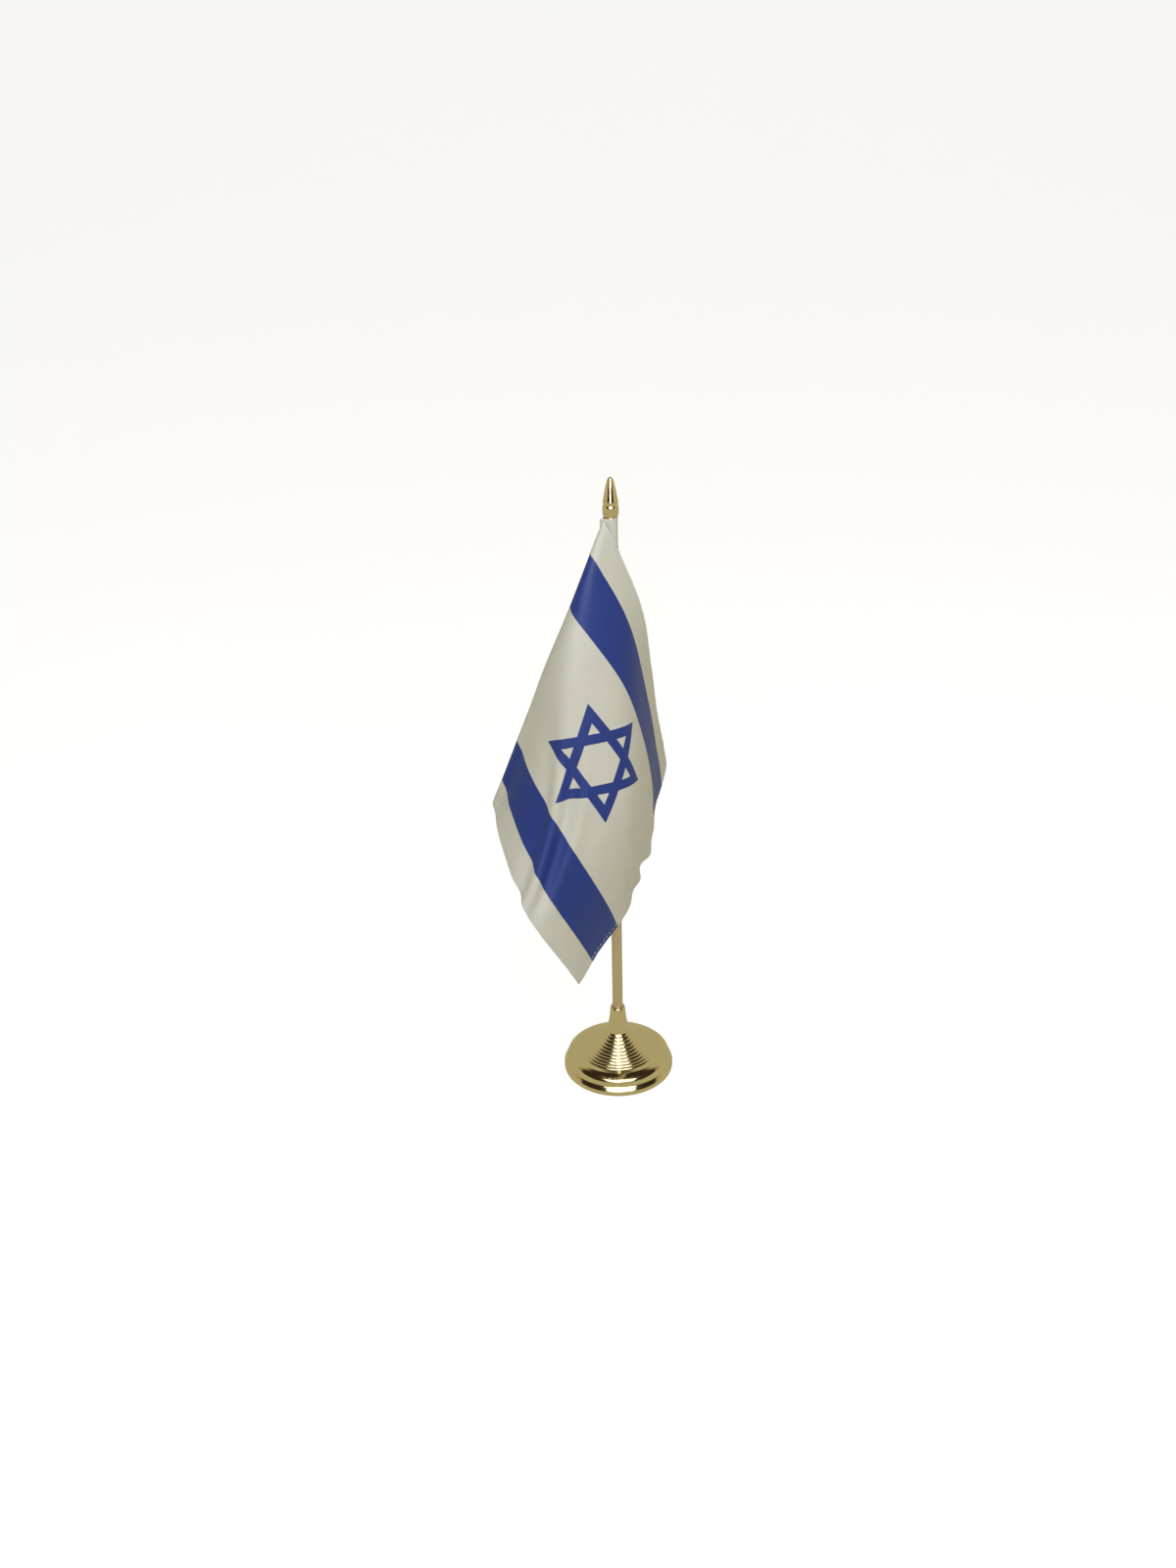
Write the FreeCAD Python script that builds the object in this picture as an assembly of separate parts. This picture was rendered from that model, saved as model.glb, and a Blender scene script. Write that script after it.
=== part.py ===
import FreeCAD, Part
import math
import os

from FreeCAD import Vector

# Desk flag stand. Millimetres, +Z up, origin at the centre of the felt pad's underside.
# The pole's axis is +Z. The flag hangs to -X and -Y of the pole.

# --- Base shell (plated ABS moulding) -------------------------------------------
BASE_R = 32.0             # outer radius of the lowest flange
RIM_Z = 0.6               # underside of the flange; the felt stands proud of it
FLANGE = [(32.0, 3.7), (31.7, 4.1), (30.5, 5.5), (30.1, 5.8)]   # its sloping top edge
BAND = [(30.0, 6.1), (30.0, 8.7), (29.7, 9.4), (29.1, 10.0)]    # second step
SHOULDER = [(27.6, 10.9), (25.2, 11.8), (22.6, 12.4)]  # broad, gently domed ring
STEPS = 11                # fine concentric steps up to the neck
STEP_R0, STEP_R1 = 22.6, 7.2
STEP_Z0, STEP_Z1 = 13.1, 25.7
STEP_CURVE = 1.2          # the steps get steeper towards the neck
STEP_RISE = 0.25          # share of each step's height taken by its upright face
STEP_SLOPE = 0.85         # how far the sloping face above it reaches inwards
NECK = [(6.0, 29.0), (5.2, 32.5), (4.75, 36.0), (4.4, 40.0), (4.35, 41.2)]
NECK_TOP_Z = 42.0
NECK_LIP_R = 4.0

# --- Inside the base -------------------------------------------------------------
FELT_R, FELT_TOP_Z = 30.5, 1.2
COVER_R, COVER_TOP_Z = 29.0, 3.0
CAVITY = [(27.4, 3.0), (27.4, 8.0), (20.5, 10.2), (12.0, 15.0), (7.2, 15.0), (7.2, 7.2)]
BALLAST_R, BALLAST_HOLE_R, BALLAST_TOP_Z = 26.8, 7.4, 7.0
CUP_R, CUP_FLANGE_R, CUP_FLANGE_Z = 5.0, 6.8, 5.1
CUP_BOTTOM_Z, CUP_FLOOR_Z, CUP_TOP_Z = 3.05, 4.1, 23.9
CUP_SEAT_Z = 24.0         # shoulder in the shell above the cup
TURN_FIT = 0.05           # radial clearance of each running fit

# --- Pole ------------------------------------------------------------------------
POLE_R, POLE_BORE_R = 3.0, 1.3
POLE_BOTTOM_Z, POLE_TOP_Z = 4.2, 340.0

# --- Finial ----------------------------------------------------------------------
TOTAL_Z = 360.0
SPIGOT_R, SPIGOT_LENGTH = 1.25, 10.0
FINIAL = [
    (3.6, 340.0), (3.95, 340.5), (4.1, 341.2), (4.15, 343.4), (4.1, 345.0),
    (3.75, 345.8), (3.75, 346.2), (3.95, 346.8), (3.85, 347.8), (3.45, 350.0),
    (2.9, 353.0), (2.3, 355.8), (1.75, 358.0), (1.3, 359.2), (0.7, 359.8),
]

# --- Flag ------------------------------------------------------------------------
HOIST, FLY = 160.0, 220.0      # the flat cloth's height and length
FLAG_TOP_Z = 339.3
SLEEVE_R, SLEEVE_T = 3.4, 0.4  # inside radius and thickness of the pole sleeve
STITCH_R = 5.4                 # the seam's distance from the pole's axis
STITCH_ANGLE = 213.0           # and its direction, in degrees from +X
SLEEVE_FLAT = 13.0             # cloth taken up by the sleeve, from the hoist edge
TAIL_R = 4.8                   # the sleeve's tail stops short of the seam
SEAM_GAP = 1.6                 # the panel starts this far from the seam
CLOTH_T = 0.6
# The cloth hangs in folds that run down from the seam's top end. Each row is one
# straight line drawn on the flat cloth from there: its angle from the hoist, then
# the (X, Y) that it heads in once hung: close to the pole, half way and far out.
FOLD_LINES = [
    (0, (0.0, 0.0), (0.0, 0.0), (0.0, 0.0)),
    (20, (-0.4, -0.2), (-0.3, 0.1), (-0.4, 0.0)),
    (40, (-0.3, -0.5), (-0.1, -0.1), (-0.3, -0.3)),
    (60, (0.1, -0.3), (0.1, -0.1), (-0.1, 0.2)),
    (90, (0.4, 0.0), (0.1, 0.5), (0.1, 0.6)),
]
NEAR_TO_MIDDLE = (10.0, 90.0)   # where along a fold line its heading changes
MIDDLE_TO_FAR = (110.0, 190.0)
CLEAR_R = 5.8                   # the free cloth is eased outside this radius
GRID_ALONG, GRID_DOWN = 20, 14      # points that each face of the cloth passes through


def revolve(profile):
    """Turn an (r, z) outline once round the pole's axis."""
    points = [Vector(r, 0, z) for r, z in profile]
    face = Part.Face(Part.makePolygon(points + points[:1]))
    return face.revolve(Vector(0, 0, 0), Vector(0, 0, 1), 360)


def step_profile():
    """Outer corners of the fine steps, from the shoulder up to the neck."""
    corners = []
    last_z = SHOULDER[-1][1]
    for i in range(STEPS):
        share = i / (STEPS - 1)
        r = STEP_R0 + (STEP_R1 - STEP_R0) * share
        z = STEP_Z0 + (STEP_Z1 - STEP_Z0) * share ** STEP_CURVE
        corners += [(r, last_z + (z - last_z) * STEP_RISE), (r - STEP_SLOPE, z)]
        last_z = z
    return corners


def base_shell():
    outer = [(BASE_R - 0.5, RIM_Z), (BASE_R, RIM_Z + 0.6)]
    outer += FLANGE + BAND + SHOULDER[:-1] + step_profile() + NECK
    outer += [(NECK_LIP_R, NECK_TOP_Z), (POLE_R + TURN_FIT, NECK_TOP_Z)]
    inner = [(POLE_R + TURN_FIT, CUP_SEAT_Z), (CUP_R + TURN_FIT, CUP_SEAT_Z)]
    inner += [(CUP_R + TURN_FIT, CAVITY[-1][1])] + CAVITY[::-1]
    inner += [(COVER_R, COVER_TOP_Z), (COVER_R, FELT_TOP_Z)]
    inner += [(FELT_R + 0.2, FELT_TOP_Z), (FELT_R + 0.2, RIM_Z)]
    return revolve(outer + inner)


def felt_pad():
    return Part.makeCylinder(FELT_R, FELT_TOP_Z)


def bottom_cover():
    return Part.makeCylinder(COVER_R, COVER_TOP_Z - FELT_TOP_Z, Vector(0, 0, FELT_TOP_Z))


def ballast_disc():
    disc = [
        (BALLAST_HOLE_R, COVER_TOP_Z), (BALLAST_R, COVER_TOP_Z),
        (BALLAST_R, BALLAST_TOP_Z - 0.8), (BALLAST_R - 0.8, BALLAST_TOP_Z),
        (BALLAST_HOLE_R, BALLAST_TOP_Z),
    ]
    return revolve(disc)


def socket_cup():
    bore = POLE_R + TURN_FIT
    return revolve([
        (0, CUP_BOTTOM_Z), (CUP_FLANGE_R, CUP_BOTTOM_Z), (CUP_FLANGE_R, CUP_FLANGE_Z),
        (CUP_R, CUP_FLANGE_Z), (CUP_R, CUP_TOP_Z), (bore, CUP_TOP_Z),
        (bore, CUP_FLOOR_Z), (0, CUP_FLOOR_Z),
    ])


def pole_tube():
    return revolve([
        (POLE_BORE_R, POLE_BOTTOM_Z), (POLE_R - 0.4, POLE_BOTTOM_Z),
        (POLE_R, POLE_BOTTOM_Z + 0.6), (POLE_R, POLE_TOP_Z), (POLE_BORE_R, POLE_TOP_Z),
    ])


def finial():
    spigot_z = POLE_TOP_Z - SPIGOT_LENGTH
    profile = [(0, spigot_z), (SPIGOT_R - 0.3, spigot_z), (SPIGOT_R, spigot_z + 0.5)]
    profile += [(SPIGOT_R, POLE_TOP_Z)] + FINIAL + [(0, TOTAL_Z)]
    return revolve(profile)


def between(a, b, share):
    return a + (b - a) * share


def ease(value, start, end):
    """0 before start, 1 after end, and a smooth rise between them."""
    u = min(1.0, max(0.0, (value - start) / (end - start)))
    return u * u * (3 - 2 * u)


def slope(k, column):
    """How fast a column of FOLD_LINES changes with the angle, at row k."""
    before, after = FOLD_LINES[max(k - 1, 0)], FOLD_LINES[min(k + 1, len(FOLD_LINES) - 1)]
    rise = [a - b for a, b in zip(after[column], before[column])]
    return [value / (after[0] - before[0]) for value in rise]


def fold_heading(angle, column):
    """(x, y) heading of the fold line at an angle, on a smooth curve through the rows."""
    k = 0
    while angle > FOLD_LINES[k + 1][0]:
        k += 1
    low, high = FOLD_LINES[k], FOLD_LINES[k + 1]
    gap = high[0] - low[0]
    u = (angle - low[0]) / gap
    rise = u * u * (3 - 2 * u)
    start_bend, end_bend = (u ** 3 - 2 * u * u + u) * gap, (u ** 3 - u * u) * gap
    start_slope, end_slope = slope(k, column), slope(k + 1, column)
    return [
        between(low[column][c], high[column][c], rise)
        + start_bend * start_slope[c] + end_bend * end_slope[c]
        for c in (0, 1)
    ]


def cloth_point(along, down):
    """Where a point of the flat cloth hangs; along is measured from the hoist edge."""
    out = along - SLEEVE_FLAT
    length = math.hypot(out, down)
    angle = math.degrees(math.atan2(out, down))
    near, middle, far = (fold_heading(angle, column) for column in (1, 2, 3))
    a = math.radians(STITCH_ANGLE)
    point = Vector(STITCH_R * math.cos(a), STITCH_R * math.sin(a), FLAG_TOP_Z)
    pieces = max(1, int(length / 4.0))
    for i in range(pieces):
        run = (i + 0.5) * length / pieces
        first, second = ease(run, *NEAR_TO_MIDDLE), ease(run, *MIDDLE_TO_FAR)
        x, y = (between(between(near[c], middle[c], first), far[c], second) for c in (0, 1))
        heading = Vector(x, y, -math.sqrt(1 - x * x - y * y))
        point = point + heading * (length / pieces)
    r = math.hypot(point.x, point.y)
    push = (1 + (CLEAR_R / r) ** 8) ** (1 / 8)
    return Vector(point.x * push, point.y * push, point.z)


def cloth_face_points(side):
    """Grid of points on one face of the cloth, half a thickness to one side."""
    rows = []
    for i in range(GRID_ALONG):
        along = between(SLEEVE_FLAT + SEAM_GAP, FLY, (i / (GRID_ALONG - 1)) ** 1.5)
        row = []
        for j in range(GRID_DOWN):
            down = between(0.0, HOIST, (j / (GRID_DOWN - 1)) ** 1.5)
            ahead = cloth_point(along + 1.0, down)
            behind = cloth_point(along - 1.0, down)
            below = cloth_point(along, down + 1.0)
            above = cloth_point(along, max(down - 1.0, 0.0))
            normal = (ahead - behind).cross(below - above).normalize()
            row.append(cloth_point(along, down) + normal * (side * CLOTH_T / 2))
        rows.append(row)
    return rows


def flag_panel():
    faces = []
    borders = []
    for side in (-1, 1):
        surface = Part.BSplineSurface()
        surface.interpolate(cloth_face_points(side))
        faces.append(surface.toShape())
        u0, u1, v0, v1 = surface.bounds()
        borders.append([
            surface.uIso(u0).toShape(), surface.uIso(u1).toShape(),
            surface.vIso(v0).toShape(), surface.vIso(v1).toShape(),
        ])
    for lower, upper in zip(*borders):
        strips = [Part.makeRuledSurface(lower, e) for e in (upper, upper.reversed())]
        faces.append(min(strips, key=lambda strip: strip.Area))
    shell = Part.makeShell(faces)
    shell.sewShape()
    solid = Part.Solid(shell)
    if solid.Volume < 0:
        solid.reverse()
    return solid


def hoist_sleeve():
    bottom_z = FLAG_TOP_Z - HOIST
    outer = Part.makeCylinder(SLEEVE_R + SLEEVE_T, HOIST, Vector(0, 0, bottom_z))
    tail = Part.makeBox(TAIL_R, CLOTH_T, HOIST, Vector(0, -CLOTH_T / 2, bottom_z))
    tail.rotate(Vector(0, 0, 0), Vector(0, 0, 1), STITCH_ANGLE)
    bore = Part.makeCylinder(SLEEVE_R, HOIST, Vector(0, 0, bottom_z))
    return outer.fuse(tail).cut(bore).removeSplitter()


PIECES = {
    "base_shell": base_shell,
    "felt_pad": felt_pad,
    "bottom_cover": bottom_cover,
    "ballast_disc": ballast_disc,
    "socket_cup": socket_cup,
    "pole_tube": pole_tube,
    "finial": finial,
    "hoist_sleeve": hoist_sleeve,
    "flag_panel": flag_panel,
}

os.makedirs("parts", exist_ok=True)
for name, build in PIECES.items():
    shape = build()
    box = shape.BoundBox
    print(
        name, "valid", shape.isValid(), "volume %.0f" % shape.Volume,
        "x %.1f..%.1f y %.1f..%.1f z %.1f..%.1f"
        % (box.XMin, box.XMax, box.YMin, box.YMax, box.ZMin, box.ZMax),
    )
    shape.exportStep("parts/" + name + ".step")
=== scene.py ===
import math

import bpy
import numpy as np
from mathutils import Matrix, Vector, noise


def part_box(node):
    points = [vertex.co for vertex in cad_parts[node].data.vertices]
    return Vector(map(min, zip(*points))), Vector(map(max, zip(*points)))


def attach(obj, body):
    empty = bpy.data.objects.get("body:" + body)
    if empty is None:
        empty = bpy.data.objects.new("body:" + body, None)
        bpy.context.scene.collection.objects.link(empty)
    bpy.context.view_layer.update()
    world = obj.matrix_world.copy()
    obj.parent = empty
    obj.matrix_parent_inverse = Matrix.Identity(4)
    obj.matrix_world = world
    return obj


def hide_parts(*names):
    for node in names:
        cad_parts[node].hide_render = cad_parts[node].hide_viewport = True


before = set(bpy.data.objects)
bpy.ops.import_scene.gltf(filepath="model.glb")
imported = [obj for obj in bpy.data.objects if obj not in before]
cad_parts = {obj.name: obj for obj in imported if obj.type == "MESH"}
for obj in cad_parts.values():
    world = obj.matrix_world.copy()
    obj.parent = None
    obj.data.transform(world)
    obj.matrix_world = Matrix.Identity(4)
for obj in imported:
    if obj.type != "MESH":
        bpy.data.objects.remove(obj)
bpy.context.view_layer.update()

# Metres, in the CAD frame: +Z up, the pole's axis is Z, the flag's seam faces -X and -Y.
MM = 0.001
TURN = 2.0 * math.pi

pole_low, pole_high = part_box("pole_tube")
sleeve_low, sleeve_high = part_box("hoist_sleeve")

POLE_R = pole_high.x
FLAG_TOP = sleeve_high.z

# --- Cloth, cut and print (flat, before it is hung) --------------------------------
HOIST = sleeve_high.z - sleeve_low.z     # 160 mm along the pole
FLY = 220 * MM                           # hoist edge to fly edge
SLEEVE_CUT = 13 * MM                     # part of the fly taken up by the pole sleeve
PANEL = FLY - SLEEVE_CUT
STRIPE_EDGES = (15 * MM, 40 * MM)        # each stripe, from the nearer long edge
STAR_CENTRE = (110 * MM, 80 * MM)
STAR_R = 33.5 * MM
STAR_BAND = 5.4 * MM
INK_WOBBLE = 0.5 * MM                    # the printed edges stray over this width
HEM = 4.5 * MM
FLY_WAVE = 0.8 * MM                      # the loose edge waves this far to each side
FLY_WAVE_LENGTH = 52 * MM
FLY_WAVE_REACH = 50 * MM                 # the waves die out this far from the edge
FLY_WAVE_PHASE = 0.8

# --- How the cloth hangs -----------------------------------------------------------
SEAM_R = 5.4 * MM                        # the seam's distance from the pole's axis
SEAM_ANGLE = math.radians(213)
SEAM_OUT = Vector((math.cos(SEAM_ANGLE), math.sin(SEAM_ANGLE), 0.0))
SEAM_SIDE = Vector((-SEAM_OUT.y, SEAM_OUT.x, 0.0))
POLE_CLEARANCE = 5.0 * MM                # the free cloth stays this far from the axis
CLOTH_HALF = 0.11 * MM                   # half the cloth's thickness
# Straight lines drawn on the flat cloth from the seam's top end: each one's angle from
# the hoist, then the (x, y) it heads in once hung: near the pole, half way and far out.
FOLD_LINES = (
    (0, (0.0, 0.0), (0.0, 0.0), (0.0, 0.0)),
    (20, (-0.4, -0.2), (-0.3, 0.1), (-0.4, 0.0)),
    (40, (-0.3, -0.5), (-0.1, -0.1), (-0.3, -0.3)),
    (60, (0.1, -0.3), (0.1, -0.1), (-0.1, 0.2)),
    (90, (0.4, 0.0), (0.1, 0.5), (0.1, 0.6)),
)
NEAR_TO_MIDDLE = (10 * MM, 90 * MM)
MIDDLE_TO_FAR = (110 * MM, 190 * MM)
RELAX_GRID = (84, 65)                    # points along the fly and down the hoist
RELAX_ROUNDS = 300
KEPT_MOTION = 0.96                       # share of each point's motion kept from the last round
FALL = 2e-6                              # metres that gravity adds in a round
SHAPE_HOLD = 0.03                        # pull back to the folded shape in the first round
SHAPE_HOLD_FADE = 0.8                    # share of the rounds over which it would fade to nothing
SHAPE_HOLD_LEAST = 0.3                   # share of it that always stays
THREAD_PASSES = 3
SLANT_FIRMNESS = 0.6                     # of the diagonals, where a thread's own is 1
SLACK_FIRMNESS = 0.12                    # of a thread that is shorter than its flat length
STIFFNESS = 0.1


# =================================== mesh helpers ==================================

def make_mesh(name, points, faces):
    mesh = bpy.data.meshes.new(name)
    mesh.from_pydata([tuple(p) for p in points], [], faces)
    mesh.update()
    piece = bpy.data.objects.new(name, mesh)
    bpy.context.scene.collection.objects.link(piece)
    mesh.shade_smooth()
    return piece


def eased(outline, radius, steps=4):
    """The closed (r, z) outline with each corner cut back into a short curve."""
    soft = []
    count = len(outline)
    for i in range(count):
        before, corner, after = (np.array(outline[(i + k) % count]) for k in (-1, 0, 1))
        reach = []
        for other in (before, after):
            away = other - corner
            length = np.linalg.norm(away)
            reach.append(corner + away * min(radius / length, 0.45))
        for step in range(steps + 1):
            t = step / steps
            start, end = reach
            soft.append((1 - t) ** 2 * start + 2 * t * (1 - t) * corner + t * t * end)
    return soft


def lathe(name, outline, segments):
    """A closed (r, z) outline turned once round the pole's axis."""
    rows = len(outline)
    points = []
    for k in range(segments):
        angle = TURN * k / segments
        c, s = math.cos(angle), math.sin(angle)
        points += [(r * c, r * s, z) for r, z in outline]
    faces = []
    for k in range(segments):
        here, there = k * rows, ((k + 1) % segments) * rows
        for i in range(rows):
            j = (i + 1) % rows
            faces.append((here + i, there + i, there + j, here + j))
    return make_mesh(name, points, faces)


def grid_faces(columns, rows, start=0, flip=False):
    """Quads over a grid of points that is stored column by column."""
    faces = []
    for i in range(columns - 1):
        for j in range(rows - 1):
            a = start + i * rows + j
            quad = (a, a + rows, a + rows + 1, a + 1)
            faces.append(quad[::-1] if flip else quad)
    return faces


# ================================== material helpers ===============================

class Nodes:
    """Builds a node tree with short calls."""

    def __init__(self, tree):
        self.tree = tree

    def add(self, kind, inputs=None, **settings):
        node = self.tree.nodes.new(kind)
        for key, value in settings.items():
            setattr(node, key, value)
        for key, value in (inputs or {}).items():
            self.put(node, key, value)
        return node

    def put(self, node, key, value):
        socket = node.inputs[key]
        if isinstance(value, bpy.types.NodeSocket):
            self.tree.links.new(value, socket)
        else:
            socket.default_value = value

    def math(self, operation, a, b=0.0, c=0.0):
        node = self.add("ShaderNodeMath", {0: a, 1: b, 2: c}, operation=operation)
        return node.outputs[0]

    def mix(self, share, a, b):
        node = self.add("ShaderNodeMix", {0: share, 6: a, 7: b}, data_type="RGBA")
        return node.outputs[2]

    def ramp(self, value, *stops):
        """Maps a value through two (position, grey level) stops."""
        node = self.add("ShaderNodeValToRGB", {0: value})
        for mark, (position, level) in zip(node.color_ramp.elements, stops):
            mark.position = position
            mark.color = colour(level, level, level)
        return node.outputs[0]

    def rise(self, value, start, end):
        """0 below start, 1 above end, and smooth between them."""
        inputs = {"Value": value, "From Min": start, "From Max": end}
        node = self.add("ShaderNodeMapRange", inputs, interpolation_type="SMOOTHSTEP")
        return node.outputs[0]

    def camera_sees(self):
        """1 for what the camera sees directly, 0 for what is seen in reflections."""
        return self.add("ShaderNodeLightPath").outputs["Is Camera Ray"]

    def where(self, scale=(1.0, 1.0, 1.0)):
        """The point's own place in metres, stretched by scale."""
        place = self.add("ShaderNodeTexCoord").outputs["Object"]
        return self.add("ShaderNodeMapping", {0: place, 3: scale}).outputs[0]

    def noise(self, vector, scale, detail=3.0, roughness=0.5):
        inputs = {"Vector": vector, "Scale": scale, "Detail": detail, "Roughness": roughness}
        return self.add("ShaderNodeTexNoise", inputs).outputs[0]

    def bump(self, height, distance, strength=1.0, under=None):
        inputs = {"Height": height, "Distance": distance, "Strength": strength}
        if under is not None:
            inputs["Normal"] = under
        return self.add("ShaderNodeBump", inputs).outputs[0]


class MaterialNodes(Nodes):
    """The same for a new material, with its own shader."""

    def __init__(self, name):
        self.material = bpy.data.materials.new(name)
        self.material.use_nodes = True
        super().__init__(self.material.node_tree)
        self.shader = self.tree.nodes["Principled BSDF"]

    def set(self, **values):
        for key, value in values.items():
            self.put(self.shader, key.replace("_", " "), value)


def colour(r, g, b):
    return (r, g, b, 1.0)


def gold_plating():
    """Bright brass-toned plating on a moulding: faint haze, turning rings, fine scratches."""
    n = MaterialNodes("gold_plating")
    place = n.where()
    cloudy = n.noise(place, 60.0, 4.0)
    haze = n.noise(place, 420.0, 3.0, 0.6)
    parts = n.add("ShaderNodeSeparateXYZ", {0: place}).outputs
    radius = n.math("SQRT", n.math("ADD", n.math("MULTIPLY", parts[0], parts[0]),
                                   n.math("MULTIPLY", parts[1], parts[1])))
    rings = n.add("ShaderNodeCombineXYZ", {0: radius, 1: parts[2]}).outputs[0]
    turned = n.noise(rings, 2600.0, 2.0)
    scratch_place = n.where((1.0, 9.0, 3.0))
    scratches = n.ramp(n.noise(scratch_place, 900.0, 2.0), (0.70, 0.0), (0.78, 1.0))
    tone = n.mix(cloudy, colour(0.80, 0.67, 0.36), colour(0.92, 0.80, 0.47))
    tone = n.mix(n.math("MULTIPLY", scratches, 0.12), tone, colour(0.45, 0.33, 0.14))
    rough = n.math("MULTIPLY_ADD", haze, 0.10, 0.045)
    rough = n.math("MULTIPLY_ADD", scratches, 0.12, rough)
    ripple = n.bump(cloudy, 0.00025, 0.35)
    n.set(Base_Color=tone, Metallic=1.0, Roughness=rough,
          Normal=n.bump(turned, 0.000012, 0.5, ripple))
    return n.material


def satin_gold():
    """Champagne-gold coat on a drawn tube: lengthwise draw lines and rubbed patches."""
    n = MaterialNodes("satin_gold")
    drawn = n.noise(n.where((1.0, 1.0, 0.012)), 2600.0, 3.0, 0.6)
    patchy = n.noise(n.where((1.0, 1.0, 0.35)), 90.0, 4.0)
    tone = n.mix(patchy, colour(0.72, 0.58, 0.36), colour(0.86, 0.73, 0.50))
    tone = n.mix(n.math("MULTIPLY", drawn, 0.35), tone, colour(0.56, 0.43, 0.25))
    rough = n.math("MULTIPLY_ADD", drawn, 0.16, 0.24)
    n.set(Base_Color=tone, Metallic=0.75, Roughness=rough, Anisotropic=0.35,
          Normal=n.bump(drawn, 0.00003, 0.6))
    return n.material


def star_outline(n, along, down):
    """1 on the printed star: the bands just inside two triangles turned from each other."""
    x = n.math("SUBTRACT", along, STAR_CENTRE[0])
    y = n.math("SUBTRACT", STAR_CENTRE[1], down)
    bands = []
    for turn in (0.0, math.pi):
        sides = []
        for k in range(3):
            angle = turn + math.radians(30.0 + 120.0 * k + 180.0)
            across = n.math("MULTIPLY", x, math.cos(angle))
            sides.append(n.math("MULTIPLY_ADD", y, math.sin(angle), across))
        reach = n.math("MAXIMUM", n.math("MAXIMUM", sides[0], sides[1]), sides[2])
        inside = n.math("LESS_THAN", reach, STAR_R / 2)
        past_hole = n.math("GREATER_THAN", reach, STAR_R / 2 - STAR_BAND)
        bands.append(n.math("MULTIPLY", inside, past_hole))
    return n.math("MAXIMUM", bands[0], bands[1])


def cloth_place(n):
    """Each point's place on the flat cloth: along the fly, down the hoist and the face."""
    flat = n.add("ShaderNodeAttribute", attribute_name="flat_cloth").outputs["Vector"]
    parts = n.add("ShaderNodeSeparateXYZ", {0: flat}).outputs
    return flat, parts[0], parts[1], parts[2]


def weave_height(n, along, down, threads):
    """Satin weave: warp and weft ridges, the weft finer and shallower."""
    warp = n.math("SINE", n.math("MULTIPLY", along, TURN * threads))
    weft = n.math("SINE", n.math("MULTIPLY", down, TURN * threads * 0.8))
    return n.math("MULTIPLY_ADD", n.math("MULTIPLY", warp, weft), 0.35,
                  n.math("MULTIPLY", weft, 0.5))


def printed_cloth():
    """White satin polyester, printed in blue from the front, a little paler behind."""
    n = MaterialNodes("printed_cloth")
    flat, along, down, face = cloth_place(n)
    bleed = n.noise(flat, 900.0, 2.0)
    wobble = n.math("MULTIPLY", n.math("SUBTRACT", bleed, 0.5), INK_WOBBLE)
    a, d = n.math("ADD", along, wobble), n.math("ADD", down, wobble)
    from_edge = n.math("MINIMUM", d, n.math("SUBTRACT", HOIST, d))
    stripe = n.math("MULTIPLY", n.math("GREATER_THAN", from_edge, STRIPE_EDGES[0]),
                    n.math("LESS_THAN", from_edge, STRIPE_EDGES[1]))
    ink = n.math("MAXIMUM", stripe, star_outline(n, a, d))

    slubs = n.add("ShaderNodeMapping", {0: flat, 3: (0.05, 1.0, 1.0)}).outputs[0]
    streaks = n.noise(slubs, 1500.0, 3.0, 0.6)
    cloudy = n.noise(flat, 55.0, 3.0)
    mottle = n.noise(flat, 1800.0, 2.0)
    white = n.mix(cloudy, colour(0.74, 0.735, 0.66), colour(0.83, 0.825, 0.76))
    white = n.mix(n.math("MULTIPLY", streaks, 0.14), white, colour(0.62, 0.61, 0.54))
    blue = n.mix(mottle, colour(0.010, 0.034, 0.255), colour(0.022, 0.062, 0.345))
    pale_blue = n.mix(mottle, colour(0.035, 0.085, 0.36), colour(0.065, 0.13, 0.44))
    blue = n.mix(face, blue, pale_blue)
    tone = n.mix(ink, white, blue)

    weave = weave_height(n, along, down, 3600.0)
    threads = n.bump(weave, 0.00003, 0.12)
    soft = n.bump(n.noise(flat, 160.0, 3.0), 0.0006, 0.25, threads)
    rough = n.math("MULTIPLY_ADD", streaks, 0.16, 0.46)
    n.set(Base_Color=tone, Roughness=rough, Normal=soft, Sheen_Weight=0.06,
          Sheen_Roughness=0.4, Specular_IOR_Level=0.35)
    return n.material


def sewing_thread():
    """Twisted polyester thread, off-white."""
    n = MaterialNodes("sewing_thread")
    place = n.where()
    twist = n.add("ShaderNodeTexWave", {"Vector": place, "Scale": 1400.0},
                  bands_direction="DIAGONAL").outputs["Fac"]
    tone = n.mix(twist, colour(0.70, 0.69, 0.62), colour(0.86, 0.85, 0.79))
    n.set(Base_Color=tone, Roughness=n.math("MULTIPLY_ADD", twist, 0.15, 0.45),
          Normal=n.bump(twist, 0.00003, 0.6), Sheen_Weight=0.3)
    return n.material


def felt():
    """Dark green short-pile felt: matted fibres and worn patches."""
    n = MaterialNodes("felt")
    place = n.where()
    fibres = n.noise(place, 2400.0, 6.0, 0.75)
    worn = n.noise(place, 120.0, 3.0)
    tone = n.mix(fibres, colour(0.012, 0.035, 0.02), colour(0.07, 0.14, 0.085))
    tone = n.mix(n.math("MULTIPLY", worn, 0.3), tone, colour(0.10, 0.12, 0.09))
    n.set(Base_Color=tone, Roughness=n.math("MULTIPLY_ADD", worn, 0.1, 0.85),
          Normal=n.bump(fibres, 0.0003, 0.9), Sheen_Weight=0.6, Sheen_Roughness=0.6)
    return n.material


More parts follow.
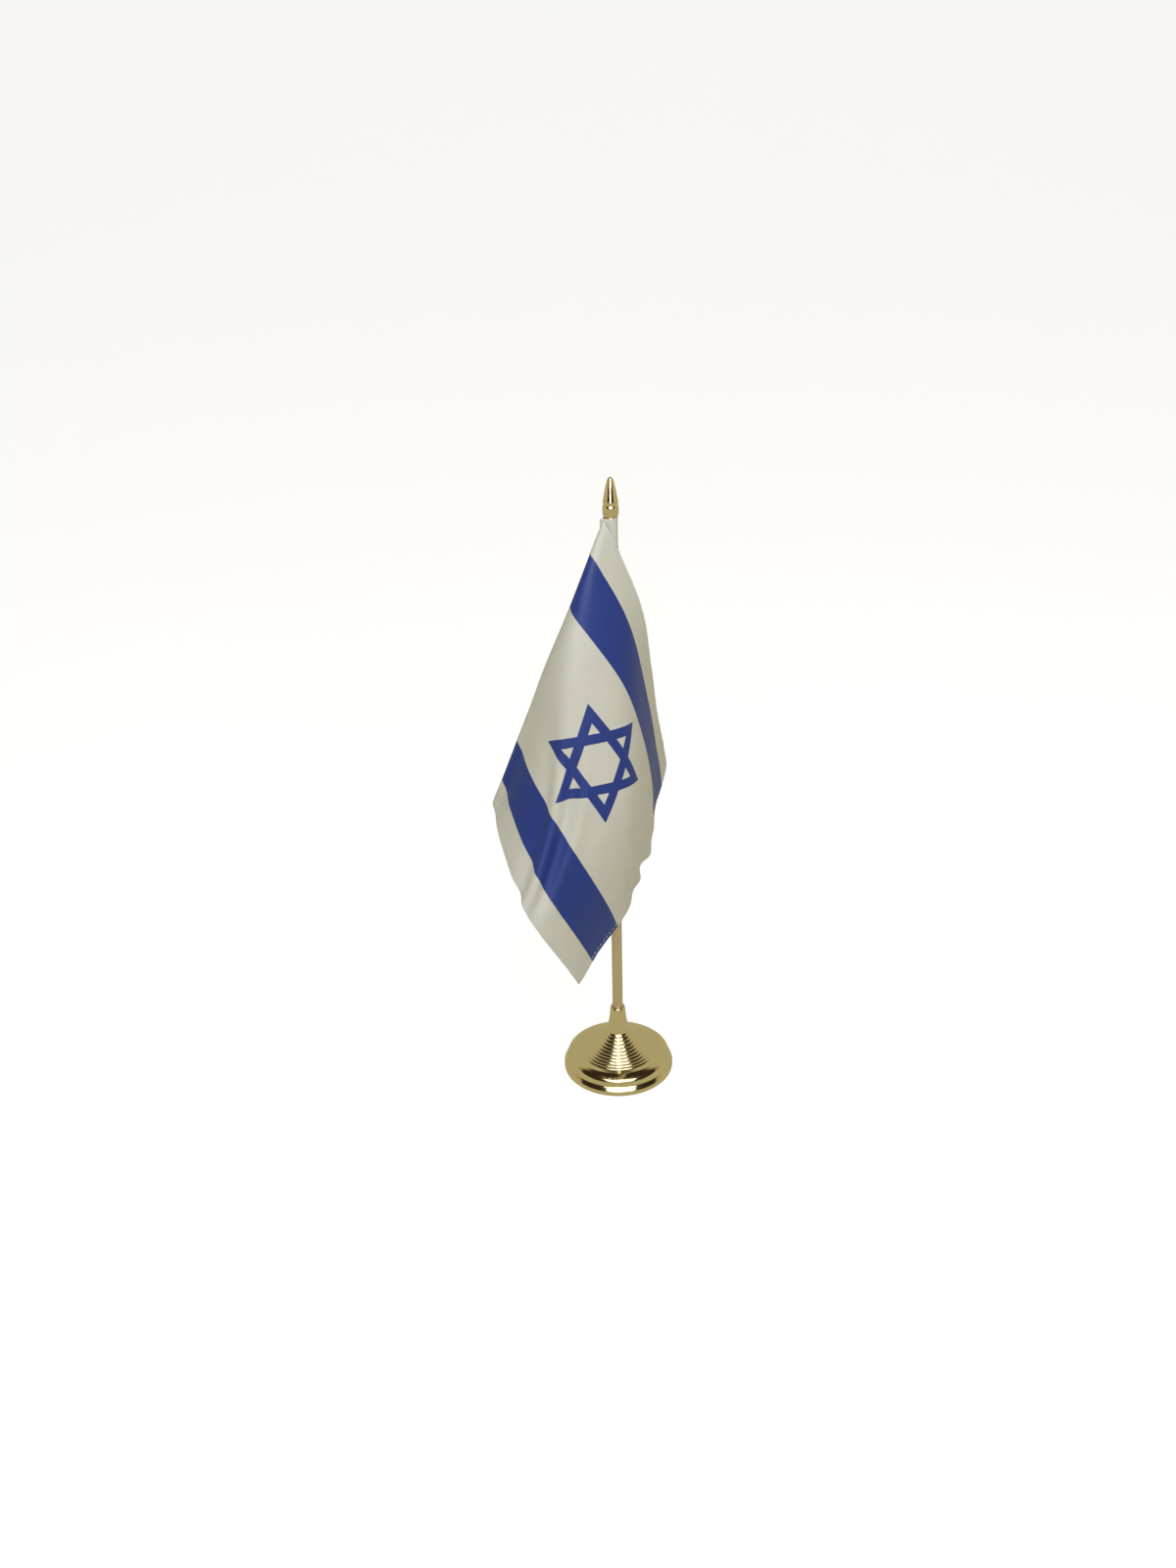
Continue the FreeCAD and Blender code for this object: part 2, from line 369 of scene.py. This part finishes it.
def moulded(name, dark, light, gloss):
    """Injection-moulded plastic with a fine spark-eroded grain."""
    n = MaterialNodes(name)
    place = n.where()
    grain = n.noise(place, 3200.0, 2.0)
    cloudy = n.noise(place, 90.0, 3.0)
    n.set(Base_Color=n.mix(cloudy, dark, light),
          Roughness=n.math("MULTIPLY_ADD", grain, 0.15, gloss),
          Normal=n.bump(grain, 0.00005, 0.5), Specular_IOR_Level=0.45)
    return n.material


def pressed_steel():
    """Bare pressed steel: rolling lines and a little rust bloom in patches."""
    n = MaterialNodes("pressed_steel")
    rolled = n.noise(n.where((0.03, 1.0, 1.0)), 1800.0, 4.0, 0.6)
    blotches = n.noise(n.where(), 160.0, 5.0)
    rust = n.ramp(blotches, (0.62, 0.0), (0.74, 1.0))
    tone = n.mix(rolled, colour(0.33, 0.33, 0.34), colour(0.55, 0.55, 0.56))
    tone = n.mix(n.math("MULTIPLY", rust, 0.45), tone, colour(0.20, 0.09, 0.04))
    n.set(Base_Color=tone, Metallic=0.95, Anisotropic=0.3,
          Roughness=n.math("MULTIPLY_ADD", rust, 0.3, n.math("MULTIPLY_ADD", rolled, 0.2, 0.3)),
          Normal=n.bump(rolled, 0.00005, 0.5))
    return n.material


# ====================================== base =======================================

# (r, z) outlines in millimetres.
BASE_FOOT = [(32.0, 1.2), (32.0, 3.7), (31.7, 4.1), (30.5, 5.5), (30.1, 5.8)]
BASE_BAND = [(30.0, 6.1), (30.0, 8.7), (29.7, 9.4), (29.1, 10.0)]
BASE_SHOULDER = [(27.6, 10.9), (25.2, 11.8), (22.6, 12.4)]
BASE_NECK = [(6.0, 29.0), (5.2, 32.5), (4.75, 36.0), (4.4, 40.0), (4.35, 41.2)]
NECK_MOUTH = [(4.0, 42.0), (3.3, 42.0), (3.06, 41.7)]
BASE_INSIDE = [
    (3.06, 24.0), (5.06, 24.0), (5.06, 15.0), (7.2, 7.2), (7.2, 15.0), (12.0, 15.0),
    (20.5, 10.2), (27.4, 8.0), (27.4, 3.0), (29.0, 3.0), (29.0, 1.2), (30.7, 1.2),
    (30.7, 0.6), (31.5, 0.6),
]
RING_COUNT = 11
RING_OUTER, RING_INNER = (22.6, 13.1), (7.2, 25.7)
RING_CLIMB = 1.2
RING_RISE = 0.25          # share of each ring's height taken by its upright face
RING_SLOPE = 0.85         # how far the sloping face above it reaches inwards
RING_BEND = (0.5, 0.70)   # where that face bends: share of its reach, share of the ring's height


def ring_steps():
    """The fine rings, each with a sloping face, climbing ever steeper to the neck."""
    corners = []
    last_z = BASE_SHOULDER[-1][1]
    for i in range(RING_COUNT):
        share = i / (RING_COUNT - 1)
        r = RING_OUTER[0] + (RING_INNER[0] - RING_OUTER[0]) * share
        z = RING_OUTER[1] + (RING_INNER[1] - RING_OUTER[1]) * share ** RING_CLIMB
        climb = z - last_z
        corners += [(r, last_z), (r, last_z + climb * RING_RISE)]
        bend = (r - RING_SLOPE * RING_BEND[0], last_z + climb * RING_BEND[1])
        corners += [bend, (r - RING_SLOPE, z)]
        last_z = z
    return corners


def base_casting():
    """The stepped base and its trumpet neck in one, open underneath."""
    outline = BASE_FOOT + BASE_BAND + BASE_SHOULDER[:-1] + ring_steps()
    outline += BASE_NECK + NECK_MOUTH + BASE_INSIDE
    soft = eased([(r * MM, z * MM) for r, z in outline], radius=0.3 * MM, steps=3)
    piece = lathe("base_casting", soft, segments=224)
    piece.data.materials.append(gold)
    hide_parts("base_shell")
    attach(piece, "base")


# ================================= pole and finial =================================

POLE_BORE = 1.3 * MM
FOOT_CHAMFER = (0.4 * MM, 0.6 * MM)      # how far in, how far along the pole
TOP_CHAMFER = (0.25 * MM, 0.3 * MM)


def pole_rod():
    """A drawn tube with both ends chamfered."""
    low, high = pole_low.z, pole_high.z
    stations = np.linspace(low + FOOT_CHAMFER[1], high - TOP_CHAMFER[1], 60)
    outline = [(POLE_BORE, low), (POLE_R - FOOT_CHAMFER[0], low)]
    outline += [(POLE_R, z) for z in stations]
    outline += [(POLE_R - TOP_CHAMFER[0], high), (POLE_BORE, high)]
    piece = lathe("pole_rod", outline, segments=72)
    piece.data.materials.append(satin)
    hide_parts("pole_tube")
    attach(piece, "pole")


# (r, z) in millimetres.
FINIAL_OUTLINE = [
    (3.6, 340.0), (3.95, 340.5), (4.1, 341.2), (4.15, 343.4), (4.1, 345.0),
    (3.75, 345.8), (3.75, 346.2), (3.95, 346.8), (3.85, 347.8), (3.45, 350.0),
    (2.9, 353.0), (2.3, 355.8), (1.75, 358.0), (1.3, 359.2), (0.7, 359.8),
]
FINIAL_SEAT, FINIAL_TIP = 340.0, 360.0
SPIGOT_R, SPIGOT_END = 1.25, 330.0
SPIGOT_CHAMFER = (0.3, 0.5)              # how far in, how far up
NEAR_AXIS = 0.02


def finial_turned():
    """The bullet, its bead and the hidden spigot that sits in the pole."""
    outline = [(NEAR_AXIS, SPIGOT_END), (SPIGOT_R - SPIGOT_CHAMFER[0], SPIGOT_END)]
    outline += [(SPIGOT_R, SPIGOT_END + SPIGOT_CHAMFER[1]), (SPIGOT_R, FINIAL_SEAT)]
    outline += FINIAL_OUTLINE + [(NEAR_AXIS, FINIAL_TIP)]
    soft = eased([(r * MM, z * MM) for r, z in outline], radius=0.6 * MM, steps=6)
    piece = lathe("finial_turned", soft, segments=128)
    piece.data.materials.append(gold)
    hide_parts("finial")
    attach(piece, "finial")


# ====================================== flag =======================================

def ease(value, start, end):
    """0 before start, 1 after end, and a smooth rise between them."""
    u = np.clip((value - start) / (end - start), 0.0, 1.0)
    return u * u * (3.0 - 2.0 * u)


def headings(angle):
    """Near, middle and far (x, y) headings of the fold line at each angle."""
    angles = np.array([line[0] for line in FOLD_LINES], float)
    table = np.array([line[1] + line[2] + line[3] for line in FOLD_LINES], float)
    slope = np.zeros_like(table)
    slope[1:-1] = (table[2:] - table[:-2]) / (angles[2:] - angles[:-2])[:, None]
    slope[0] = (table[1] - table[0]) / (angles[1] - angles[0])
    slope[-1] = (table[-1] - table[-2]) / (angles[-1] - angles[-2])
    k = np.clip(np.searchsorted(angles, angle, side="left") - 1, 0, len(angles) - 2)
    gap = (angles[k + 1] - angles[k])[..., None]
    u = (angle - angles[k])[..., None] / gap
    value = (2 * u ** 3 - 3 * u ** 2 + 1) * table[k]
    value += (3 * u ** 2 - 2 * u ** 3) * table[k + 1]
    value += (u ** 3 - 2 * u ** 2 + u) * gap * slope[k]
    return value + (u ** 3 - u ** 2) * gap * slope[k + 1]


def folded(along, down):
    """Where points of the flat cloth would hang if each fold line kept its length."""
    out = along - SLEEVE_CUT
    length = np.hypot(out, down)
    h = headings(np.degrees(np.arctan2(out, np.maximum(down, 1e-9))))
    points = np.zeros(along.shape + (3,))
    points[:] = SEAM_OUT * SEAM_R
    points[..., 2] = FLAG_TOP
    pieces = 40
    for i in range(pieces):
        run = (i + 0.5) * length / pieces
        middle = ease(run, *NEAR_TO_MIDDLE)[..., None]
        far = ease(run, *MIDDLE_TO_FAR)[..., None]
        flat = h[..., 0:2] * (1 - middle) + h[..., 2:4] * middle * (1 - far)
        flat = flat + h[..., 4:6] * middle * far
        fall = -np.sqrt(1.0 - (flat ** 2).sum(-1, keepdims=True))
        points += np.concatenate([flat, fall], -1) * (length / pieces)[..., None]
    return points


def pull_threads(cloth, step, spacing, firmness):
    """Moves neighbouring points of the grid back to their distance on the flat cloth."""
    across, along = step
    columns, rows = cloth.shape[:2]
    i_all = np.arange(columns - across)
    j_all = np.arange(max(0, -along), rows - max(0, along))
    for parity in (0, 1):
        i = i_all[i_all % 2 == parity] if across else i_all
        j = j_all if across else j_all[j_all % 2 == parity]
        here, there = np.ix_(i, j), np.ix_(i + across, j + along)
        gap = cloth[there] - cloth[here]
        length = np.maximum(np.linalg.norm(gap, axis=-1, keepdims=True), 1e-9)
        give = np.where(length < spacing, SLACK_FIRMNESS, 1.0) * firmness
        move = 0.5 * give * (length - spacing) / length * gap
        cloth[here] += move
        cloth[there] -= move


def stiffen(cloth, amount):
    """Draws each point towards the middle of its neighbours, as the cloth resists bending."""
    for axis in (0, 1):
        view = np.swapaxes(cloth, 0, axis)
        bent = (view[2:] + view[:-2]) / 2 - view[1:-1]
        view[1:-1] += amount * bent
        view[2:] -= amount / 2 * bent
        view[:-2] -= amount / 2 * bent


def relaxed(shape, spacing):
    """Lets the folded cloth settle while its threads pull back to their own lengths."""
    across, down = spacing
    slant = math.hypot(across, down)
    cloth, last = shape.copy(), shape.copy()
    for step in range(RELAX_ROUNDS):
        drift = (cloth - last) * KEPT_MOTION
        last = cloth.copy()
        cloth += drift
        cloth[..., 2] -= FALL
        left = max(SHAPE_HOLD_LEAST, 1.0 - step / (SHAPE_HOLD_FADE * RELAX_ROUNDS))
        cloth += (shape - cloth) * SHAPE_HOLD * left
        for _ in range(THREAD_PASSES):
            pull_threads(cloth, (1, 0), across, 1.0)
            pull_threads(cloth, (0, 1), down, 1.0)
            pull_threads(cloth, (1, 1), slant, SLANT_FIRMNESS)
            pull_threads(cloth, (1, -1), slant, SLANT_FIRMNESS)
        stiffen(cloth, STIFFNESS)
        radius = np.maximum(np.hypot(cloth[..., 0], cloth[..., 1]), 1e-9)
        cloth[..., :2] *= np.maximum(1.0, POLE_CLEARANCE / radius)[..., None]
        cloth[0] = shape[0]
    return cloth


def resample(rows, at):
    """Smoothly interpolates a list of points, or of lists of them, at fractional places."""
    first, last = 2 * rows[:1] - rows[1:2], 2 * rows[-1:] - rows[-2:-1]
    padded = np.concatenate([first, rows, last])
    k = np.clip(np.floor(at).astype(int), 0, len(rows) - 2)
    u = (at - k).reshape((-1,) + (1,) * (rows.ndim - 1))
    p0, p1, p2, p3 = (padded[k + o] for o in range(4))
    return 0.5 * (2 * p1 + (p2 - p0) * u + (2 * p0 - 5 * p1 + 4 * p2 - p3) * u ** 2
                  + (3 * p1 - p0 - 3 * p2 + p3) * u ** 3)


class HungCloth:
    """The hung panel: its middle surface and normals at any place on the flat cloth."""

    def __init__(self):
        columns, rows = RELAX_GRID
        along = np.linspace(SLEEVE_CUT, FLY, columns)
        down = np.linspace(0.0, HOIST, rows)
        spacing = (along[1] - along[0], down[1] - down[0])
        grid = np.meshgrid(along, down, indexing="ij")
        self.coarse = relaxed(folded(*grid), spacing)

    def surface(self, along, down):
        """Grid of points and normals at every pairing of the two lists of places."""
        columns, rows = RELAX_GRID
        i = (along - SLEEVE_CUT) / PANEL * (columns - 1)
        j = down / HOIST * (rows - 1)
        points = resample(self.coarse, i)
        points = np.swapaxes(resample(np.swapaxes(points, 0, 1), j), 0, 1)
        across = np.gradient(points, along, axis=0)
        falling = np.gradient(points, down, axis=1)
        normals = np.cross(falling, across)
        normals /= np.linalg.norm(normals, axis=-1, keepdims=True)
        return points, normals


def spaced(start, end, coarse, fine, edge):
    """Places from start to end, closer together within edge of the end."""
    turn = end - edge
    body = np.linspace(start, turn, int(round((turn - start) / coarse)) + 1)
    rim = np.linspace(turn, end, int(round(edge / fine)) + 1)
    return np.concatenate([body[:-1], rim])


def down_hoist(coarse, fine, edge):
    """Places down the hoist, closer together within edge of both ends."""
    half = spaced(HOIST / 2, HOIST, coarse, fine, edge)
    return np.concatenate([HOIST - half[::-1], half[1:]])


def distance_along(line):
    """How far each point of a line is from its start, measured along it."""
    steps = np.linalg.norm(np.diff(line, axis=0), axis=1)
    return np.concatenate([[0.0], np.cumsum(steps)])


def uneven(x, y, size, plane):
    """Smooth noise from -1 to 1 with bumps of the given size; each use has its own plane."""
    return noise.noise(Vector((x / size[0], y / size[1], plane)))


def closed_cloth(name, front, back, along, down):
    """Thin closed cloth from two grids of points, storing each one's place on the flat cloth."""
    columns, rows = along.shape
    count = columns * rows
    faces = grid_faces(columns, rows, 0, True) + grid_faces(columns, rows, count)
    rim = [i * rows for i in range(columns)]
    rim += [(columns - 1) * rows + j for j in range(1, rows)]
    rim += [i * rows + rows - 1 for i in range(columns - 2, -1, -1)]
    rim += [j for j in range(rows - 2, 0, -1)]
    for p, q in zip(rim, rim[1:] + rim[:1]):
        faces.append((p, q, q + count, p + count))
    piece = make_mesh(name, np.concatenate([front.reshape(-1, 3), back.reshape(-1, 3)]), faces)
    piece.data.materials.append(cloth_print)
    face = np.repeat([0.0, 1.0], count)
    place = np.stack([np.tile(along.ravel(), 2), np.tile(down.ravel(), 2), face], -1)
    attribute = piece.data.attributes.new("flat_cloth", "FLOAT_VECTOR", "POINT")
    attribute.data.foreach_set("vector", place.astype(np.float32).ravel())
    return piece


# --- Panel ---------------------------------------------------------------------------
SWELL, SWELL_SIZE = 0.45 * MM, (34 * MM, 26 * MM)
PUCKER, PUCKER_SIZE = 0.16 * MM, (5 * MM, 5 * MM)
PUCKER_REACH = 5 * MM                    # how far past the hem the pucker carries
HELD_BY_SEAM = 12 * MM                   # the unevenness grows over this far from the seam
HEM_SLOPE = 0.5 * MM
HEM_FRONT, HEM_BACK = 0.04 * MM, 0.28 * MM   # what the turned hem adds to each face


def edge_distance(along, down):
    """How far a place on the flat cloth is from the nearest hemmed edge."""
    return np.minimum(np.minimum(down, HOIST - down), FLY - along)


def ripple(along, down):
    """Unevenness of the hung cloth, the stitching's pucker by each hem and the fly's waves."""
    near_hem = np.exp(-np.maximum(edge_distance(along, down) - HEM, 0.0) / PUCKER_REACH)
    out = np.zeros(along.shape)
    for index in np.ndindex(along.shape):
        a, d = along[index], down[index]
        swell = uneven(a, d, SWELL_SIZE, 3.1)
        pucker = uneven(a, d, PUCKER_SIZE, 7.7)
        out[index] = SWELL * swell + PUCKER * near_hem[index] * pucker
    held = ease(along, SLEEVE_CUT, SLEEVE_CUT + HELD_BY_SEAM)
    flutter = FLY_WAVE * np.sin(TURN * down / FLY_WAVE_LENGTH + FLY_WAVE_PHASE)
    return out * held + flutter * ease(along, FLY - FLY_WAVE_REACH, FLY)


def hem_raise(along, down):
    """1 on the turned hem, falling to 0 over its inner edge."""
    return 1.0 - ease(edge_distance(along, down), HEM - HEM_SLOPE, HEM)


def flag_panel_cloth(cloth):
    """The printed panel from the sleeve's seam to the fly, with its turned hems."""
    coarse, fine, edge = 1.0 * MM, 0.5 * MM, 6 * MM
    along, down = spaced(SLEEVE_CUT, FLY, coarse, fine, edge), down_hoist(coarse, fine, edge)
    points, normals = cloth.surface(along, down)
    a, d = np.meshgrid(along, down, indexing="ij")
    points = points + normals * ripple(a, d)[..., None]
    hem = hem_raise(a, d)
    front = points + normals * (CLOTH_HALF + HEM_FRONT * hem)[..., None]
    back = points - normals * (CLOTH_HALF + HEM_BACK * hem)[..., None]
    piece = closed_cloth("flag_panel_cloth", front, back, a, d)
    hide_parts("flag_panel")
    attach(piece, "flag")
    return piece


# --- Pole sleeve ---------------------------------------------------------------------
SLEEVE_R = 3.40 * MM
TAIL_START, TAIL_MIDDLE, TAIL_END = 4.7 * MM, 5.5 * MM, 6.2 * MM   # distances from the axis
TAIL_GAP = 0.26 * MM                     # from each tail to the plane between the two
TAIL_FLARE = 0.1 * MM                    # and this much more at the tail's start
LOOSE_WITHIN, FLAT_BEYOND = 3.8 * MM, 5.2 * MM   # distances from the axis
CREASE, CREASE_SIZE = 0.10 * MM, (3 * MM, 16 * MM)
WRINKLE, WRINKLE_SIZE = 0.05 * MM, (1.6 * MM, 4 * MM)
SLEEVE_HEM = (2.6 * MM, 3.1 * MM)        # the turned end thins out between these
SLEEVE_HEM_RAISE = 0.06 * MM


def sleeve_path():
    """Middle line of the sleeve's cloth seen from above: tail, round the pole, tail."""
    first = math.degrees(math.acos(SLEEVE_R / TAIL_START))
    tail = [(TAIL_END, TAIL_GAP), (TAIL_MIDDLE, TAIL_GAP), (TAIL_START, TAIL_GAP + TAIL_FLARE)]
    path = list(tail)
    for angle in np.radians(np.linspace(first, 360.0 - first, 21)):
        path.append((SLEEVE_R * math.cos(angle), SLEEVE_R * math.sin(angle)))
    path += [(x, -y) for x, y in reversed(tail)]
    return resample(np.array(path), np.linspace(0, len(path) - 1, 110))


def sleeve_face(path, run, down_places, face):
    """One face of the sleeve, outer for 1 and inner for -1, creased where the cloth is loose."""
    tangent = np.gradient(path, axis=0)
    side = np.stack([tangent[:, 1], -tangent[:, 0]], -1)
    side /= np.linalg.norm(side, axis=-1, keepdims=True)
    loose = ease(np.hypot(path[:, 0], path[:, 1]), FLAT_BEYOND, LOOSE_WITHIN)
    points = np.zeros((len(path), len(down_places), 3))
    for j, down in enumerate(down_places):
        turned = 1.0 - float(ease(min(down, HOIST - down), *SLEEVE_HEM))
        for i, (x, y) in enumerate(path):
            crease = uneven(run[i], down, CREASE_SIZE, 1.3)
            wrinkle = uneven(run[i], down, WRINKLE_SIZE, 5.9)
            push = loose[i] * (CREASE * crease + WRINKLE * wrinkle)
            push += face * (CLOTH_HALF + SLEEVE_HEM_RAISE * turned)
            px, py = x + side[i, 0] * push, y + side[i, 1] * push
            points[i, j] = SEAM_OUT * px + SEAM_SIDE * py
            points[i, j, 2] = FLAG_TOP - down
    return points


def hoist_sleeve_cloth():
    """The cloth tube on the pole, closed by the seam; also gives its flat width."""
    path = sleeve_path()
    run = distance_along(path)
    down_places = down_hoist(coarse=1.5 * MM, fine=0.5 * MM, edge=4 * MM)
    outer, inner = (sleeve_face(path, run, down_places, face) for face in (1.0, -1.0))
    a, d = np.meshgrid(run, down_places, indexing="ij")
    from_seam = SLEEVE_CUT - np.minimum(a, run[-1] - a)
    piece = closed_cloth("hoist_sleeve_cloth", outer, inner, from_seam, d)
    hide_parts("hoist_sleeve")
    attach(piece, "flag")
    return piece, run[-1]


# --- Stitching -----------------------------------------------------------------------
STITCH_LENGTH = 2.1 * MM
STITCH_PITCH = 2.8 * MM
STITCH_R = 0.17 * MM                     # at the stitch's middle
STITCH_TAPER = (0.55, 0.45)              # share of that at its ends, and share gained inwards
STITCH_ARCH, STITCH_SINK = 0.16 * MM, 0.10 * MM


def add_stitch(points, faces, start, end, up):
    """One thread bar from start to end: round, arched, its ends sunk into the cloth."""
    around, rings = 6, 5
    forward = (end - start) / np.linalg.norm(end - start)
    sideways = np.cross(up, forward)
    base = len(points)
    for ring in range(rings):
        t = ring / (rings - 1)
        arch = math.sin(math.pi * t)
        centre = start + (end - start) * t + up * (STITCH_ARCH * arch - STITCH_SINK)
        radius = STITCH_R * (STITCH_TAPER[0] + STITCH_TAPER[1] * arch)
        for k in range(around):
            angle = TURN * k / around
            ray = sideways * math.cos(angle) + up * math.sin(angle)
            points.append(centre + ray * radius)
    for ring in range(rings - 1):
        for k in range(around):
            a, b = base + ring * around + k, base + ring * around + (k + 1) % around
            faces.append((a, b, b + around, a + around))
    faces.append(tuple(base + k for k in reversed(range(around))))
    faces.append(tuple(base + (rings - 1) * around + k for k in range(around)))


def stitch_run(points, faces, line, ups):
    """Stitches along a densely sampled line of points, with the cloth's up direction."""
    run = distance_along(line)
    place = STITCH_PITCH
    while place + STITCH_LENGTH < run[-1] - STITCH_PITCH / 2:
        ends = []
        for at in (place, place + STITCH_LENGTH):
            ends.append(np.array([np.interp(at, run, line[:, c]) for c in range(3)]))
        k = int(np.searchsorted(run, place + STITCH_LENGTH / 2))
        add_stitch(points, faces, ends[0], ends[1], ups[min(k, len(ups) - 1)])
        place += STITCH_PITCH


def stitching(name, runs, body):
    points, faces = [], []
    for line, ups in runs:
        stitch_run(points, faces, line, ups)
    piece = make_mesh(name, points, faces)
    piece.data.materials.append(thread)
    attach(piece, body)
    return piece


def hem_runs(cloth):
    """The hem's stitch line, on both faces, along the top, fly and bottom edges."""
    inset = HEM - 1.0 * MM
    step = 0.25 * MM
    along = np.linspace(SLEEVE_CUT + 2 * MM, FLY - inset, 420)
    down = np.linspace(inset, HOIST - inset, 320)
    edges = (
        (along, np.array([inset, inset + step]), (slice(None), 0)),
        (np.array([FLY - inset - step, FLY - inset]), down, (1, slice(None))),
        (along, np.array([HOIST - inset - step, HOIST - inset]), (slice(None), 1)),
    )
    runs = []
    for a, d, edge in edges:
        points, normals = cloth.surface(a, d)
        grid = np.meshgrid(a, d, indexing="ij")
        points = points + normals * ripple(*grid)[..., None]
        line, up = points[edge], normals[edge]
        runs.append((line + up * (CLOTH_HALF + HEM_FRONT), up))
        runs.append((line - up * (CLOTH_HALF + HEM_BACK), -up))
    return runs


def seam_runs():
    """The seam that closes the sleeve, on both faces of its tail."""
    margin, lift = 1 * MM, 0.02 * MM
    heights = np.linspace(FLAG_TOP - margin, FLAG_TOP - HOIST + margin, 300)
    runs = []
    for face in (1.0, -1.0):
        offset = face * (TAIL_GAP + CLOTH_HALF + lift)
        start = SEAM_OUT * SEAM_R + SEAM_SIDE * offset
        line = np.array([(start.x, start.y, z) for z in heights])
        ups = np.tile(np.array(SEAM_SIDE * face), (len(heights), 1))
        runs.append((line, ups))
    return runs


# ================================ stage, lights, camera =============================

def stage_floor():
    """A wide sheet that curves up far behind: pale to the camera, dim beige in reflections."""
    width, front, back, rise = 12.0, -6.0, 3.0, 6.0
    bend, bend_steps = 1.5, 12
    under_felt = 0.00005
    path = [(front, 0.0), (back - bend, 0.0)]
    for k in range(1, bend_steps + 1):
        angle = math.pi / 2 * k / bend_steps
        path.append((back - bend + bend * math.sin(angle), bend - bend * math.cos(angle)))
    path.append((back, rise))
    points = [(x, y, z - under_felt) for x in (-width, width) for y, z in path]
    piece = make_mesh("stage_floor", points, grid_faces(2, len(path)))
    n = MaterialNodes("stage_floor")
    paper = n.noise(n.where(), 14.0, 2.0)
    n.set(Base_Color=n.mix(paper, colour(0.50, 0.50, 0.50), colour(0.53, 0.53, 0.53)),
          Roughness=0.9, Emission_Color=colour(1.0, 1.0, 1.0), Emission_Strength=0.80)
    dim = n.add("ShaderNodeEmission", {0: colour(0.46, 0.44, 0.32), 1: 1.0})
    shaders = {0: n.camera_sees(), 1: dim.outputs[0], 2: n.shader.outputs[0]}
    both = n.add("ShaderNodeMixShader", shaders)
    n.put(n.tree.nodes["Material Output"], "Surface", both.outputs[0])
    piece.data.materials.append(n.material)


def area_light(name, place, target, size, power):
    data = bpy.data.lights.new(name, "AREA")
    data.shape = "RECTANGLE"
    data.size, data.size_y = size
    data.energy = power
    lamp = bpy.data.objects.new(name, data)
    lamp.location = place
    lamp.rotation_euler = (Vector(target) - Vector(place)).to_track_quat("-Z", "Y").to_euler()
    bpy.context.scene.collection.objects.link(lamp)
    return lamp


def lights():
    """A softbox above the camera; the glint and the card add to it in reflections only."""
    place, target, size = (0.08, -0.95, 1.12), (0, 0, 0.05), (1.3, 1.6)
    area_light("front_softbox", place, target, size, power=15.0)
    glint = area_light("front_glint", place, target, size, power=22.0)
    glint.visible_diffuse = False
    card = area_light("front_card", place=(-0.03, -1.0, 0.42), target=(0, 0, 0.35),
                      size=(0.16, 0.22), power=1.5)
    card.visible_diffuse = False


def surroundings():
    """A beige room, olive higher up and dark at the front, for the plating to reflect.

    The room itself is seen as a plain pale backdrop.
    """
    world = bpy.data.worlds.new("room")
    bpy.context.scene.world = world
    world.use_nodes = True
    n = Nodes(world.node_tree)
    direction = n.add("ShaderNodeTexCoord").outputs["Generated"]
    height = n.add("ShaderNodeSeparateXYZ", {0: direction}).outputs[2]
    beige, olive, dark = colour(0.62, 0.53, 0.43), colour(0.36, 0.33, 0.20), colour(0.035, 0.02, 0.014)
    walls = n.mix(n.rise(height, 0.12, 0.55), beige, olive)
    facing = n.add("ShaderNodeVectorMath", {0: direction, 1: (0.0, -0.64, 0.77)},
                   operation="DOT_PRODUCT").outputs["Value"]
    room = n.mix(n.rise(facing, 0.36, 0.46), walls, dark)
    backdrop = n.mix(n.camera_sees(), room, colour(0.94, 0.94, 0.93))
    n.put(n.tree.nodes["Background"], 0, backdrop)


def camera():
    """Looks down at the stand from a desk-side eye height."""
    place = (0.0, -0.800, 0.608)
    yaw, pitch, roll = math.radians(-1.03), math.radians(27.67), math.radians(-1.31)
    ahead = Vector((math.sin(yaw) * math.cos(pitch), math.cos(yaw) * math.cos(pitch),
                    -math.sin(pitch)))
    level = Vector((math.cos(yaw), -math.sin(yaw), 0.0))
    lift = level.cross(ahead)
    right = level * math.cos(roll) + lift * math.sin(roll)
    up = lift * math.cos(roll) - level * math.sin(roll)
    data = bpy.data.cameras.new("camera")
    data.sensor_fit = "HORIZONTAL"
    data.sensor_width = 36.0
    data.lens = 50.9
    data.clip_start = 0.01
    eye = bpy.data.objects.new("camera", data)
    turned = Matrix((right, up, -ahead)).transposed().to_4x4()
    eye.matrix_world = Matrix.Translation(place) @ turned
    bpy.context.scene.collection.objects.link(eye)
    bpy.context.scene.camera = eye


# ====================================== build ======================================

gold = gold_plating()
satin = satin_gold()
cloth_print = printed_cloth()
thread = sewing_thread()

base_casting()
pole_rod()
finial_turned()

hung = HungCloth()
panel = flag_panel_cloth(hung)
sleeve, sleeve_width = hoist_sleeve_cloth()
hem_thread = stitching("hem_stitching", hem_runs(hung), "flag")
seam_thread = stitching("seam_stitching", seam_runs(), "flag")

CAD_FINISHES = {
    "felt_pad": felt(),
    "bottom_cover": moulded("black_plastic", colour(0.018, 0.018, 0.02),
                            colour(0.035, 0.035, 0.037), 0.45),
    "ballast_disc": pressed_steel(),
    "socket_cup": moulded("socket_plastic", colour(0.62, 0.60, 0.53),
                          colour(0.74, 0.72, 0.65), 0.4),
}
for node, finish in CAD_FINISHES.items():
    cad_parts[node].data.materials.clear()
    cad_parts[node].data.materials.append(finish)

stage_floor()
lights()
surroundings()
camera()
bpy.context.scene.view_settings.view_transform = "Standard"
